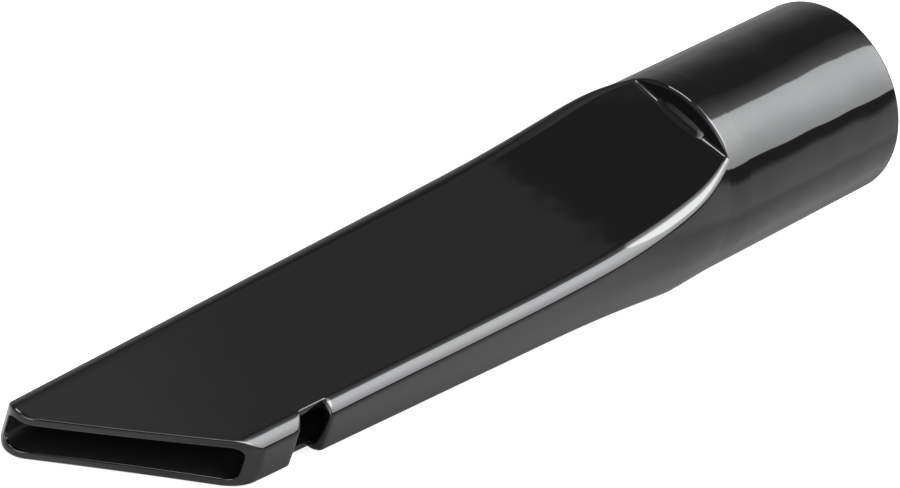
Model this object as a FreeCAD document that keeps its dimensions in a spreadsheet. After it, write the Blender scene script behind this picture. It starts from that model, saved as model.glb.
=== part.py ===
"""Vacuum crevice tool moulded in one piece: a round socket, and a flat, hollow blade with a slanting mouth.

It is built along its own axis, +X from the socket's open end to the tip and +Y towards the notched side,
and then laid down as it rests: on the lower edge of the socket's step and on the lower edge of the mouth.
"""
import FreeCAD
import Part
import Sketcher
import math
import os

# Driving dimensions in millimetres and degrees: name, value, meaning
SIZES = [
    ("tool_length", 205.9, "socket's open end to the tip of the mouth"),
    ("socket_bore_radius", 17.8, "bore that takes the wand"),
    ("socket_wall", 2.2, "wall round the bore"),
    ("socket_length", 49.7, "open end to the step on the flat faces"),
    ("socket_lip_round", 0.6, "round on the open end's outer edge"),
    ("step_wall", 2.2, "wall between the bore's end and the step"),
    ("step_rise", 4.5, "height of the step at its middle"),
    ("step_edge_round", 0.3, "round along the step's curved edge"),
    ("face_sink", 0.3, "how far the middle of a flat face sinks"),
    ("blend_1_reach", 6.3, "first blend outline, beyond the step"),
    ("blend_1_height", 13.6, "its half height"),
    ("blend_1_inset", 0.05, "its side at mid height, in from the socket's"),
    ("blend_1_bulge", 4.6, "how far that side bulges"),
    ("blend_2_reach", 18.3, "second blend outline, beyond the step"),
    ("blend_2_height", 10.5, "its half height"),
    ("blend_2_inset", 0.7, "its side at mid height, in from the socket's"),
    ("blend_2_bulge", 2.0, "how far that side bulges"),
    ("blend_3_reach", 34.3, "third blend outline, beyond the step"),
    ("blend_3_height", 8.15, "its half height"),
    ("blend_3_inset", 1.45, "its side at mid height, in from the socket's"),
    ("blend_3_bulge", 0.65, "how far that side bulges"),
    ("blend_4_reach", 54.3, "fourth blend outline, where the blade turns straight"),
    ("blend_4_height", 7.13, "its half height"),
    ("blend_4_inset", 1.95, "its side at mid height, in from the socket's"),
    ("blend_4_bulge", 0.2, "how far that side bulges"),
    ("tip_height", 5.11, "half height at the tip"),
    ("tip_inset", 4.17, "side at the tip's mid height, in from the socket's"),
    ("tip_bulge", 0.15, "how far that side bulges"),
    ("straight_share_1", 0.3, "outlines along the straight blade, as shares of its length"),
    ("straight_share_2", 0.65, "second of them"),
    ("straight_share_3", 1.08, "third of them, past the tip, where the mouth is cut off"),
    ("edge_round", 2.0, "round on the blade's long outer edges"),
    ("blade_wall", 1.8, "wall of the blade"),
    ("passage_edge_round", 1.8, "round on the passage's long edges"),
    ("passage_ledge", 0.4, "ledge that stops the wand at the bore's sides"),
    ("passage_lead", 1.0, "how far the passage's start reaches back into the bore"),
    ("mouth_angle", 40.0, "angle between the mouth and the axis, in plan"),
    ("mouth_far_round", 4.2, "round of the mouth's long corner, in plan"),
    ("mouth_far_inset", 3.18, "that round's centre, in from the tip's side"),
    ("mouth_near_round", 6.0, "round of the mouth's short corner, in plan"),
    ("mouth_near_inset", 4.9, "that round's centre, in from the tip's side"),
    ("mouth_edge_round", 0.3, "round on the edges of the mouth and the notch"),
    ("notch_reach", 43.6, "forward end of the air notch's floor, back from the tip"),
    ("notch_length", 5.3, "air notch's floor along the blade"),
    ("notch_depth", 2.9, "air notch in from the side"),
    ("notch_slant", 39.0, "lean of the notch's forward side, in plan"),
    ("notch_round", 1.0, "round in the notch's inner corners"),
    ("rib_length", 12.4, "rib at the foot of the step, across the tool"),
    ("rib_thickness", 1.4, "rib along the tool"),
    ("rib_rise", 1.3, "rib's height above the flat face"),
    ("rib_root", 1.4, "rib's depth into the flat face's wall"),
    ("rib_round", 0.9, "round on the rib's upper corners"),
    ("rib_edge_round", 0.4, "round on the rib's front edge"),
    ("cut_room", 40.0, "half size of the cutting outlines, clear of the tool"),
]

# Sizes that follow from others, as expressions
OUTER = "(Sizes.socket_bore_radius + Sizes.socket_wall)"
STEP_FACE = f"({OUTER} - Sizes.step_rise)"
STRAIGHT = "(Sizes.socket_length + Sizes.blend_4_reach)"
TIP_WIDTH = f"({OUTER} - Sizes.tip_inset - Sizes.tip_bulge)"

# The way a sketch lies: across the tool, in plan, or upright along its axis
ACROSS = FreeCAD.Rotation(FreeCAD.Vector(1, 1, 1), 120)
IN_PLAN = FreeCAD.Rotation()
UPRIGHT = FreeCAD.Rotation(FreeCAD.Vector(1, 0, 0), 90)

FORWARDS = FreeCAD.Vector(1, 0, 0)
UPWARDS = FreeCAD.Vector(0, 0, 1)
TINY = 1e-4


def make_sheet(doc):
    """The spreadsheet of driving dimensions, one aliased number to a row."""
    sheet = doc.addObject("Spreadsheet::Sheet", "Sizes")
    for row, (name, value, meaning) in enumerate(SIZES, start=1):
        sheet.set(f"A{row}", name)
        sheet.set(f"B{row}", str(value))
        sheet.set(f"C{row}", meaning)
        sheet.setAlias(f"B{row}", name)
    doc.recompute()
    return sheet


def worth(doc, expression):
    """The number that an expression stands for."""
    value = doc.Sizes.evalExpression(expression)
    return float(getattr(value, "Value", value))


def new_sketch(doc, name, lie, along=None):
    """An empty sketch through the tool's axis, moved along it by an expression."""
    sketch = doc.addObject("Sketcher::SketchObject", name)
    sketch.Placement = FreeCAD.Placement(FreeCAD.Vector(), lie)
    if along:
        sketch.setExpression(".Placement.Base.x", along)
    return sketch


def bind(sketch, kind, *place, to, name):
    """A named dimension of a sketch, bound to an expression."""
    value = worth(sketch.Document, to)
    if kind == "Angle":
        value = math.radians(value)
    index = sketch.addConstraint(Sketcher.Constraint(kind, *place, value))
    sketch.renameConstraint(index, name)
    sketch.setExpression(f"Constraints.{name}", to)


def hold(sketch, kind, places):
    """The same kind of constraint at several places of a sketch."""
    for place in places:
        sketch.addConstraint(Sketcher.Constraint(kind, *place))


def point(x, y):
    """A point of a sketch."""
    return FreeCAD.Vector(x, y, 0)


def arc(centre, radius, start, end):
    """An arc of a sketch, anticlockwise between two angles in radians."""
    return Part.ArcOfCircle(Part.Circle(centre, UPWARDS, radius), start, end)


def polyline(sketch, points):
    """Straight lines of a sketch from point to point."""
    for start, end in zip(points, points[1:]):
        sketch.addGeometry(Part.LineSegment(start, end))


def circles_meet(first, first_radius, second, second_radius):
    """The point to the right of the way from one circle's centre to another's where the circles cross."""
    apart = second - first
    reach = (first_radius**2 - second_radius**2 + apart.Length**2) / (2 * apart.Length)
    rise = math.sqrt(first_radius**2 - reach**2)
    across = point(apart.y, -apart.x)
    return first + apart * (reach / apart.Length) + across * (rise / apart.Length)


def outline(doc, name, station, rounding):
    """A closed outline across the tool: two sinking faces, two bulging sides and four rounded corners."""
    along, height, width, belly = station
    sketch = new_sketch(doc, name, ACROSS, along)
    bulge = f"({belly} - ({width}))"
    side_radius = f"(({height})^2 + {bulge}^2) / (2 * {bulge})"
    face_radius = f"(({width})^2 + Sizes.face_sink^2) / (2 * Sizes.face_sink)"
    side_place = f"{side_radius} - ({belly})"
    face_place = f"{face_radius} + {height} - Sizes.face_sink"
    terms = (side_radius, face_radius, side_place, face_place, rounding)
    side, face, back, up, corner = (worth(doc, term) for term in terms)
    middle = circles_meet(point(-back, 0), side - corner, point(0, up), face + corner)
    x, y = middle.x, middle.y
    turn = math.atan2(y, x + back)
    lean = math.atan2(up - y, -x)
    sketch.addGeometry(arc(point(-back, 0), side, -turn, turn))
    sketch.addGeometry(arc(point(x, y), corner, turn, lean))
    sketch.addGeometry(arc(point(0, up), face, -lean, lean - math.pi))
    sketch.addGeometry(arc(point(-x, y), corner, math.pi - lean, math.pi - turn))
    sketch.addGeometry(arc(point(back, 0), side, math.pi - turn, math.pi + turn))
    sketch.addGeometry(arc(point(-x, -y), corner, math.pi + turn, math.pi + lean))
    sketch.addGeometry(arc(point(0, -up), face, math.pi - lean, lean))
    sketch.addGeometry(arc(point(x, -y), corner, -lean, -turn))
    hold(sketch, "Tangent", ((0, 2, 1, 1), (1, 2, 2, 2), (2, 1, 3, 1), (3, 2, 4, 1)))
    hold(sketch, "Tangent", ((4, 2, 5, 1), (5, 2, 6, 2), (6, 1, 7, 1), (7, 2, 0, 1)))
    hold(sketch, "PointOnObject", ((0, 3, -1), (4, 3, -1), (2, 3, -2), (6, 3, -2)))
    hold(sketch, "Equal", ((0, 4), (2, 6), (1, 3), (3, 5), (5, 7)))
    bind(sketch, "Radius", 0, to=side_radius, name="side_radius")
    bind(sketch, "Radius", 1, to=rounding, name="corner_radius")
    bind(sketch, "Radius", 2, to=face_radius, name="face_radius")
    bind(sketch, "DistanceX", 0, 3, -1, 1, to=side_place, name="right_centre")
    bind(sketch, "DistanceX", -1, 1, 4, 3, to=side_place, name="left_centre")
    bind(sketch, "DistanceY", -1, 1, 2, 3, to=face_place, name="upper_centre")
    bind(sketch, "DistanceY", 6, 3, -1, 1, to=face_place, name="lower_centre")
    return sketch


def along_blade(name, share):
    """A size on the straight blade, between the last blend outline and the tip."""
    return f"(Sizes.blend_4_{name} + (Sizes.tip_{name} - Sizes.blend_4_{name}) * {share})"


def station(along, height, inset, bulge):
    """An outline's place, half height, half width at the corners and half width at mid height."""
    belly = f"({OUTER} - {inset})"
    return along, height, f"({belly} - {bulge})", belly


def blade_stations():
    """The blade's outer outlines, from the step to past the tip."""
    corner = f"sqrt({OUTER}^2 - {STEP_FACE}^2)"
    stations = [("Sizes.socket_length", STEP_FACE, corner, OUTER)]
    for number in (1, 2, 3, 4):
        sizes = [f"Sizes.blend_{number}_{name}" for name in ("height", "inset", "bulge")]
        stations.append(station(f"Sizes.socket_length + Sizes.blend_{number}_reach", *sizes))
    for number in (1, 2, 3):
        share = f"Sizes.straight_share_{number}"
        sizes = [along_blade(name, share) for name in ("height", "inset", "bulge")]
        stations.append(station(f"{STRAIGHT} + (Sizes.tool_length - {STRAIGHT}) * {share}", *sizes))
    return stations


def passage_stations():
    """The passage's outlines: a round inside the bore, then one wall inside the blade's outlines."""
    wall = "Sizes.blade_wall"
    start = "Sizes.socket_length - Sizes.step_wall - Sizes.passage_lead"
    height = f"({STEP_FACE} - {wall})"
    belly = "(Sizes.socket_bore_radius - Sizes.passage_ledge)"
    stations = [(start, height, f"sqrt({belly}^2 - {height}^2)", belly)]
    for along, high, wide, middle in blade_stations()[1:]:
        bulge = f"({middle} - {wide})"
        corner = f"({wide} - {wall} * ({high} - {bulge}) / ({high} + {bulge}))"
        stations.append((along, f"({high} - {wall})", corner, f"({middle} - {wall})"))
    return stations


def loft(doc, name, stations, rounding):
    """A smooth solid through outlines across the tool."""
    sketches = [outline(doc, f"{name}_{number}", item, rounding) for number, item in enumerate(stations)]
    doc.recompute()
    solid = doc.addObject("Part::Loft", name)
    solid.Sections = sketches
    solid.Solid = True
    solid.MaxDegree = 3
    return solid


def socket_sketch(doc):
    """Half the socket's outside as a profile from the axis, with its lip and the step's edge rounded."""
    sketch = new_sketch(doc, "SocketProfile", UPRIGHT)
    terms = (OUTER, "Sizes.socket_length", "Sizes.socket_lip_round", "Sizes.step_edge_round")
    radius, length, lip, step = (worth(doc, term) for term in terms)
    polyline(sketch, (point(0, 0), point(0, radius - lip)))
    sketch.addGeometry(arc(point(lip, radius - lip), lip, math.pi / 2, math.pi))
    polyline(sketch, (point(lip, radius), point(length - step, radius)))
    sketch.addGeometry(arc(point(length - step, radius - step), step, 0, math.pi / 2))
    polyline(sketch, (point(length, radius - step), point(length, 0), point(0, 0)))
    hold(sketch, "Tangent", ((0, 2, 1, 2), (1, 1, 2, 1), (2, 2, 3, 2), (3, 1, 4, 1)))
    hold(sketch, "Coincident", ((4, 2, 5, 1), (5, 2, 0, 1), (0, 1, -1, 1)))
    hold(sketch, "Vertical", ((0,), (4,)))
    hold(sketch, "Horizontal", ((2,), (5,)))
    bind(sketch, "DistanceY", -1, 1, 2, 1, to=OUTER, name="outside")
    bind(sketch, "DistanceX", -1, 1, 4, 2, to="Sizes.socket_length", name="length")
    bind(sketch, "Radius", 1, to="Sizes.socket_lip_round", name="lip_round")
    bind(sketch, "Radius", 3, to="Sizes.step_edge_round", name="step_round")
    return sketch


def bore_sketch(doc):
    """Half the bore as a profile from the axis: a straight wall in from the open end."""
    sketch = new_sketch(doc, "BoreProfile", UPRIGHT)
    depth = "Sizes.socket_length - Sizes.step_wall"
    radius, end = (worth(doc, term) for term in ("Sizes.socket_bore_radius", depth))
    polyline(sketch, (point(0, 0), point(0, radius), point(end, radius), point(end, 0), point(0, 0)))
    hold(sketch, "Coincident", ((0, 2, 1, 1), (1, 2, 2, 1), (2, 2, 3, 1), (3, 2, 0, 1), (0, 1, -1, 1)))
    hold(sketch, "Vertical", ((0,), (2,)))
    hold(sketch, "Horizontal", ((1,), (3,)))
    bind(sketch, "DistanceY", -1, 1, 1, 1, to="Sizes.socket_bore_radius", name="wall")
    bind(sketch, "DistanceX", -1, 1, 2, 1, to=depth, name="depth")
    return sketch


def turn(doc, name, sketch):
    """A solid of revolution about the tool's axis."""
    solid = doc.addObject("Part::Revolution", name)
    solid.Source = sketch
    solid.Axis = FORWARDS
    solid.Solid = True
    return solid


def extrude(doc, name, sketch, direction, length, symmetric=False):
    """A straight solid from a sketch."""
    solid = doc.addObject("Part::Extrusion", name)
    solid.Base = sketch
    solid.DirMode = "Custom"
    solid.Dir = direction
    solid.Solid = True
    solid.Symmetric = symmetric
    solid.setExpression("LengthFwd", length)
    return solid


def tab_sketch(doc, name, lie, along, box, rounding):
    """A rectangle with rounded upper corners; the box is left, right, bottom and top as expressions."""
    sketch = new_sketch(doc, name, lie, along)
    left, right, bottom, top = box
    x0, x1, y0, y1, r = (worth(doc, term) for term in (*box, rounding))
    quarter = math.pi / 2
    polyline(sketch, (point(x0, y1 - r), point(x0, y0), point(x1, y0), point(x1, y1 - r)))
    sketch.addGeometry(arc(point(x1 - r, y1 - r), r, 0, quarter))
    polyline(sketch, (point(x1 - r, y1), point(x0 + r, y1)))
    sketch.addGeometry(arc(point(x0 + r, y1 - r), r, quarter, math.pi))
    hold(sketch, "Coincident", ((0, 2, 1, 1), (1, 2, 2, 1)))
    hold(sketch, "Tangent", ((2, 2, 3, 1), (3, 2, 4, 1), (4, 2, 5, 1), (5, 2, 0, 1)))
    hold(sketch, "Vertical", ((0,), (2,)))
    hold(sketch, "Horizontal", ((1,), (4,)))
    hold(sketch, "Equal", ((3, 5),))
    bind(sketch, "DistanceX", -1, 1, 1, 1, to=left, name="left")
    bind(sketch, "DistanceX", -1, 1, 1, 2, to=right, name="right")
    bind(sketch, "DistanceY", -1, 1, 1, 1, to=bottom, name="bottom")
    bind(sketch, "DistanceY", -1, 1, 4, 1, to=top, name="top")
    bind(sketch, "Radius", 3, to=rounding, name="rounding")
    return sketch


def notch_sketch(doc):
    """The air notch in plan: a floor between a straight side and a leaning one, with both corners rounded."""
    sketch = new_sketch(doc, "NotchOutline", IN_PLAN)
    right = "Sizes.tool_length - Sizes.notch_reach"
    left = f"{right} - Sizes.notch_length"
    share = f"(({right} - {STRAIGHT}) / (Sizes.tool_length - {STRAIGHT}))"
    floor = f"{OUTER} - {along_blade('inset', share)} - Sizes.notch_depth"
    tuck = "Sizes.notch_round * tan(45 deg - Sizes.notch_slant * 0.5 deg)"
    terms = (left, right, floor, "Sizes.cut_room", "Sizes.notch_round", tuck)
    x0, x1, y0, y1, r, tucked = (worth(doc, term) for term in terms)
    slant = math.radians(doc.Sizes.notch_slant)
    turned = point(x1 - tucked + r * math.cos(slant), y0 + r - r * math.sin(slant))
    top = point(turned.x + (y1 - turned.y) * math.tan(slant), y1)
    polyline(sketch, (turned, top, point(x0, y1), point(x0, y0 + r)))
    sketch.addGeometry(arc(point(x0 + r, y0 + r), r, math.pi, 1.5 * math.pi))
    polyline(sketch, (point(x0 + r, y0), point(x1 - tucked, y0)))
    sketch.addGeometry(arc(point(x1 - tucked, y0 + r), r, -math.pi / 2, -slant))
    hold(sketch, "Coincident", ((0, 2, 1, 1), (1, 2, 2, 1)))
    hold(sketch, "Tangent", ((2, 2, 3, 1), (3, 2, 4, 1), (4, 2, 5, 1), (5, 2, 0, 1)))
    hold(sketch, "Vertical", ((2,),))
    hold(sketch, "Horizontal", ((1,), (4,)))
    hold(sketch, "Equal", ((3, 5),))
    bind(sketch, "DistanceX", -1, 1, 1, 2, to=left, name="left")
    bind(sketch, "DistanceX", -1, 1, 4, 2, to=f"{right} - {tuck}", name="right")
    bind(sketch, "DistanceY", -1, 1, 1, 1, to="Sizes.cut_room", name="outside")
    bind(sketch, "DistanceY", -1, 1, 4, 1, to=floor, name="floor")
    bind(sketch, "Radius", 3, to="Sizes.notch_round", name="rounding")
    bind(sketch, "Angle", 0, to="90 deg - Sizes.notch_slant * 1 deg", name="slant")
    return sketch


def mouth_places(doc):
    """The mouth in plan: the centres of its long and short corners, and the way that its cut faces."""
    slant = math.radians(worth(doc, "Sizes.mouth_angle"))
    facing = point(math.sin(slant), math.cos(slant))
    sizes = doc.Sizes
    width = worth(doc, TIP_WIDTH)
    far = point(sizes.tool_length - sizes.mouth_far_round, sizes.mouth_far_inset - width)
    near_y = width - sizes.mouth_near_inset
    fall = sizes.mouth_far_round - sizes.mouth_near_round - (near_y - far.y) * facing.y
    return far, point(far.x + fall / facing.x, near_y), facing


def mouth_sketch(doc):
    """The mouth's cut in plan: a slanting line between two rounded corners, and room beyond the tip."""
    sketch = new_sketch(doc, "MouthOutline", IN_PLAN)
    far, near, facing = mouth_places(doc)
    far_round = doc.Sizes.mouth_far_round
    near_round = doc.Sizes.mouth_near_round
    room = doc.Sizes.cut_room
    end = doc.Sizes.tool_length + room
    aim = math.atan2(facing.y, facing.x)
    sketch.addGeometry(arc(far, far_round, -math.pi / 2, aim))
    polyline(sketch, (far + facing * far_round, near + facing * near_round))
    sketch.addGeometry(arc(near, near_round, aim, math.pi / 2))
    polyline(sketch, (point(near.x, near.y + near_round), point(near.x, room), point(end, room)))
    polyline(sketch, (point(end, room), point(end, -room), point(far.x, -room)))
    polyline(sketch, (point(far.x, -room), point(far.x, far.y - far_round)))
    hold(sketch, "Tangent", ((0, 2, 1, 1), (1, 2, 2, 1)))
    hold(sketch, "Coincident", ((2, 2, 3, 1), (3, 2, 4, 1), (4, 2, 5, 1)))
    hold(sketch, "Coincident", ((5, 2, 6, 1), (6, 2, 7, 1), (7, 2, 0, 1)))
    hold(sketch, "Vertical", ((0, 1, 0, 3), (2, 2, 2, 3), (3,), (7,)))
    hold(sketch, "Horizontal", ((4,), (6,)))
    hold(sketch, "Symmetric", ((5, 1, 5, 2, -1),))
    bind(sketch, "DistanceX", -1, 1, 0, 3, to="Sizes.tool_length - Sizes.mouth_far_round", name="far_x")
    bind(sketch, "DistanceY", 0, 3, -1, 1, to=f"{TIP_WIDTH} - Sizes.mouth_far_inset", name="far_y")
    bind(sketch, "DistanceY", -1, 1, 2, 3, to=f"{TIP_WIDTH} - Sizes.mouth_near_inset", name="near_y")
    bind(sketch, "Radius", 0, to="Sizes.mouth_far_round", name="far_round")
    bind(sketch, "Radius", 2, to="Sizes.mouth_near_round", name="near_round")
    bind(sketch, "Angle", 1, to="180 deg - Sizes.mouth_angle * 1 deg", name="slant")
    bind(sketch, "DistanceX", -1, 1, 5, 1, to="Sizes.tool_length + Sizes.cut_room", name="end")
    bind(sketch, "DistanceY", -1, 1, 5, 1, to="Sizes.cut_room", name="room")
    return sketch


def join(doc, name, pieces):
    """One solid from several."""
    solid = doc.addObject("Part::MultiFuse", name)
    solid.Shapes = pieces
    solid.Refine = True
    doc.recompute()
    return solid


def cut(doc, name, base, tool):
    """A solid less another; it has to take something away."""
    solid = doc.addObject("Part::Cut", name)
    solid.Base = base
    solid.Tool = tool
    solid.Refine = True
    doc.recompute()
    if solid.Shape.isNull() or solid.Shape.Volume >= base.Shape.Volume:
        raise ValueError(f"{name} cuts nothing")
    return solid


def soften(doc, name, base, radius, edges):
    """Small rounds on some edges of a solid."""
    solid = doc.addObject("Part::Fillet", name)
    solid.Base = base
    solid.Edges = [(number, radius, radius) for number in edges]
    doc.recompute()
    return solid


def cut_edges(doc, shape):
    """The edges where the mouth's and the notch's cut faces meet the blade's moulded faces."""
    start = worth(doc, STRAIGHT)
    beyond = [face for face in shape.Faces if face.BoundBox.XMin > start]
    cuts = [face for face in beyond if isinstance(face.Surface, (Part.Plane, Part.Cylinder))]
    chosen = []
    for number, edge in enumerate(shape.Edges, start=1):
        if sum(edge.isSame(other) for face in cuts for other in face.Edges) == 1:
            chosen.append(number)
    return chosen


def rib_edges(doc, shape):
    """The front edges of the rib, but for its foot."""
    front = worth(doc, "Sizes.socket_length + Sizes.rib_thickness")
    chosen = []
    for number, edge in enumerate(shape.Edges, start=1):
        if isinstance(edge.Curve, (Part.Line, Part.Circle)):
            if all(abs(vertex.X - front) < TINY for vertex in edge.Vertexes):
                chosen.append(number)
    return chosen


def rest_placement(doc):
    """Lays the tool down on the step's lower edge and on the two ends of the mouth's lower edge."""
    sizes = doc.Sizes
    radius = worth(doc, OUTER)
    straight = worth(doc, STRAIGHT)
    centre, _, facing = mouth_places(doc)
    far = centre + facing * sizes.mouth_far_round
    near_y = worth(doc, TIP_WIDTH) - sizes.edge_round
    near = point(far.x - (near_y - far.y) * facing.y / facing.x, near_y)
    rows = []
    for spot in (far, near):
        share = (spot.x - straight) / (sizes.tool_length - straight)
        height = sizes.blend_4_height + (sizes.tip_height - sizes.blend_4_height) * share
        rows.append((spot.x - sizes.socket_length, spot.y, height - radius))
    (a, b, c), (d, e, f) = rows
    span = a * e - b * d
    slope = (c * e - b * f) / span
    lean = (a * f - c * d) / span
    roll = math.degrees(math.atan(lean))
    pitch = math.degrees(math.atan(-slope / math.hypot(1, lean)))
    rolled = FreeCAD.Rotation(FORWARDS, roll)
    pitched = FreeCAD.Rotation(FreeCAD.Vector(0, 1, 0), pitch)
    return FreeCAD.Placement(FreeCAD.Vector(), pitched * rolled)


def make_rib(doc):
    """The rib at the foot of the step, let into the step behind it, with its front edge rounded."""
    face = f"{STEP_FACE} - Sizes.face_sink"
    half = "Sizes.rib_length / 2"
    box = (f"-{half}", half, f"{face} - Sizes.rib_root", f"{face} + Sizes.rib_rise")
    back = "Sizes.socket_length - Sizes.step_edge_round"
    sketch = tab_sketch(doc, "RibOutline", ACROSS, back, box, "Sizes.rib_round")
    rib = extrude(doc, "Rib", sketch, FORWARDS, "Sizes.step_edge_round + Sizes.rib_thickness")
    doc.recompute()
    return soften(doc, "RibSoftened", rib, doc.Sizes.rib_edge_round, rib_edges(doc, rib.Shape))


def make_tool(doc):
    """The whole tool as one solid along its own axis, laid down at the end."""
    blade = loft(doc, "Blade", blade_stations(), "Sizes.edge_round")
    socket = turn(doc, "Socket", socket_sketch(doc))
    collar = extrude(doc, "Collar", blade.Sections[0], -FORWARDS, "2 * Sizes.step_edge_round")
    outside = join(doc, "Outside", [socket, collar, blade, make_rib(doc)])
    passage = loft(doc, "Passage", passage_stations(), "Sizes.passage_edge_round")
    bore = turn(doc, "Bore", bore_sketch(doc))
    hollow = cut(doc, "Hollow", outside, join(doc, "Inside", [bore, passage]))
    mouth = extrude(doc, "MouthCut", mouth_sketch(doc), UPWARDS, "2 * Sizes.cut_room", True)
    opened = cut(doc, "Opened", hollow, mouth)
    notch = extrude(doc, "NotchCut", notch_sketch(doc), UPWARDS, "2 * Sizes.cut_room", True)
    notched = cut(doc, "Notched", opened, notch)
    tool = soften(doc, "Tool", notched, doc.Sizes.mouth_edge_round, cut_edges(doc, notched.Shape))
    tool.Label = "crevice_tool"
    tool.Placement = rest_placement(doc)
    doc.recompute()
    return tool


def main():
    """Builds the document, checks it and writes the part."""
    doc = FreeCAD.newDocument("CreviceTool")
    make_sheet(doc)
    tool = make_tool(doc)
    for item in doc.Objects:
        if "Invalid" in item.State or "Error" in item.State:
            raise ValueError(f"{item.Name} failed")
        if item.TypeId == "Sketcher::SketchObject" and not item.FullyConstrained:
            raise ValueError(f"{item.Name} is loose")
    if tool.Shape.isNull() or not tool.Shape.isValid() or len(tool.Shape.Solids) != 1:
        raise ValueError("the tool is not one sound solid")
    os.makedirs("parts", exist_ok=True)
    tool.Shape.exportStep(f"parts/{tool.Label}.step")
    print(f"{tool.Label}: {tool.Shape.Volume:.0f} cubic millimetres")


main()
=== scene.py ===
"""Looks of the vacuum crevice tool: gloss black plastic on a white table, under soft studio lights."""
import math

import bmesh
import bpy
import numpy as np
from mathutils import Matrix, Quaternion, Vector


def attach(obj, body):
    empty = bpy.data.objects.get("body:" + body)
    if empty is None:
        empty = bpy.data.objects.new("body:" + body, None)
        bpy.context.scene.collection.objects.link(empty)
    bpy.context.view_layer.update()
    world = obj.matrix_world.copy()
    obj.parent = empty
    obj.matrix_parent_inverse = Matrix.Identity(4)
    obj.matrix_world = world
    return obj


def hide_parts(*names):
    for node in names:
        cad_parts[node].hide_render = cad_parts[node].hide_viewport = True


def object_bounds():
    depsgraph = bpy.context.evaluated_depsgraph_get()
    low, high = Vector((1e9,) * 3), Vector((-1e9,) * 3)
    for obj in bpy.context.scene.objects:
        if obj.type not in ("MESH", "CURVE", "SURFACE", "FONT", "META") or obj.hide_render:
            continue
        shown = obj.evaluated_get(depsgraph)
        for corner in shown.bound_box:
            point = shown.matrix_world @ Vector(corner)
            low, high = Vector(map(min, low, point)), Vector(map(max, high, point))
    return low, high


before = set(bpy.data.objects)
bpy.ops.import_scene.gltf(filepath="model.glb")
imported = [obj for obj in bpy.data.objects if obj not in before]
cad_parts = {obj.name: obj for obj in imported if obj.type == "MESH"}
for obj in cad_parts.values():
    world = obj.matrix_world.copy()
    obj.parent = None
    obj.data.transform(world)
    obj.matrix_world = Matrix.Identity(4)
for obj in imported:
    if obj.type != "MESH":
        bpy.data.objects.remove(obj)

CAD_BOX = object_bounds()
MM = 0.001

bl_info = {
    "name": "Crevice Tool Looks",
    "version": (1, 0, 0),
    "blender": (4, 5, 0),
    "location": "View3D > Sidebar > Crevice Tool",
    "description": "Dresses the packed crevice tool in gloss black plastic and sets its stage",
    "category": "Object",
}

# Outlines across the blade in millimetres and degrees: place along the tool, half height, half width at
# mid height, how far the side bulges, the edge's broad round, its tight round and the angle between them
BLADE = np.array((
    (49.7, 15.5, 20.0, 7.361, 2.0, 2.0, 75.0),
    (56.0, 13.6, 19.95, 4.6, 3.4, 2.0, 62.0),
    (68.0, 10.5, 19.3, 2.0, 4.5, 1.4, 52.0),
    (84.0, 8.15, 18.55, 0.65, 4.5, 1.2, 46.0),
    (104.0, 7.13, 18.05, 0.2, 4.5, 1.2, 46.0),
    (134.57, 6.524, 17.384, 0.185, 4.5, 1.2, 46.0),
    (170.235, 5.817, 16.607, 0.1675, 4.5, 1.2, 46.0),
    (214.052, 4.948, 15.652, 0.146, 4.5, 1.2, 46.0),
)).T * np.array((MM, MM, MM, MM, MM, MM, math.radians(1.0)))[:, None]

# The passage's round start inside the bore: place along the tool, half height and half width
PASSAGE_START, PASSAGE_HEIGHT, PASSAGE_WIDTH = 46.5 * MM, 13.7 * MM, 17.4 * MM

# The angle between the two arcs of the passage's edges, at its start and further on
PASSAGE_ANGLES = (math.radians(60.0), math.radians(30.0))

# The mouth's cut in plan: centres and rounds of its long and short corners, and the way that it faces
MOUTH_FAR = (201.7 * MM, -12.5 * MM, 4.2 * MM)
MOUTH_NEAR = (171.156 * MM, 10.78 * MM, 6.0 * MM)
MOUTH_FACING = (math.sin(math.radians(40.0)), math.cos(math.radians(40.0)))

# The air notch: its floor's ends along the blade, how far out its floor lies, and its forward side's lean
NOTCH = (157.0 * MM, 162.3 * MM)
NOTCH_FLOOR = 13.88 * MM
NOTCH_LEAN = math.tan(math.radians(39.0))

# Shares of the edge's broad round at the notch's floor, outside and inside
FLOOR_OUTSIDE, FLOOR_INSIDE = 0.808, 0.618

# How blunt the rib's ends are, and how far its ramp swells
RIB_BLUNT, RIB_SWELL = 2.6, 0.05

# How the tool lies: turned about its own axis, then about the frame's Y
ROLL, TILT = math.radians(-5.588666), math.radians(5.792594)
LIE = Matrix.Rotation(TILT, 4, "Y") @ Matrix.Rotation(ROLL, 4, "X")

# Steps of a quarter of the loop: the side, the tight round, each part of the broad round, and the face
SIDE_STEPS, TIGHT_STEPS, BROAD_STEPS, FACE_STEPS = 14, 6, 8, 24

# Shares where the broad round's columns go on past the notch's floor, and of the face's first columns
BEYOND_FLOOR = 0.5
FACE_EDGE, FACE_START = (0.0, 0.03), 0.07

# Places along the blade where the rows turn sparser, where they are sparsest and where they start to slant
NEAR_END, STRAIGHT_START, SLANT_START = 60.0 * MM, 104.0 * MM, 169.0 * MM

# Rows up to those places, up to the notch and up to the mouth, and how much the last ones close up
NEAR_ROWS, BLEND_ROWS, STRAIGHT_ROWS, MOUTH_ROWS, MOUTH_CROWD = 16, 33, 21, 21, 1.4

# Rows on each side of the notch, and on its floor
NOTCH_LEAD, FLOOR_ROWS = 3, 9

# Rows along the bore and the socket, and on the rounds of the bore's edge, lip, step and notch
BORE_ROWS, SOCKET_ROWS = 6, 20
BORE_BEND, LIP_BEND, STEP_BEND, NOTCH_BEND = 3, 7, 4, 3

# Rows on the flat of the mouth's rim and of the notch's wall
RIM_ROWS, WALL_ROWS = 3, 2

# Loops along the rib, and points up its ramp
RIB_LOOPS, RAMP_POINTS = 65, 13

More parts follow.
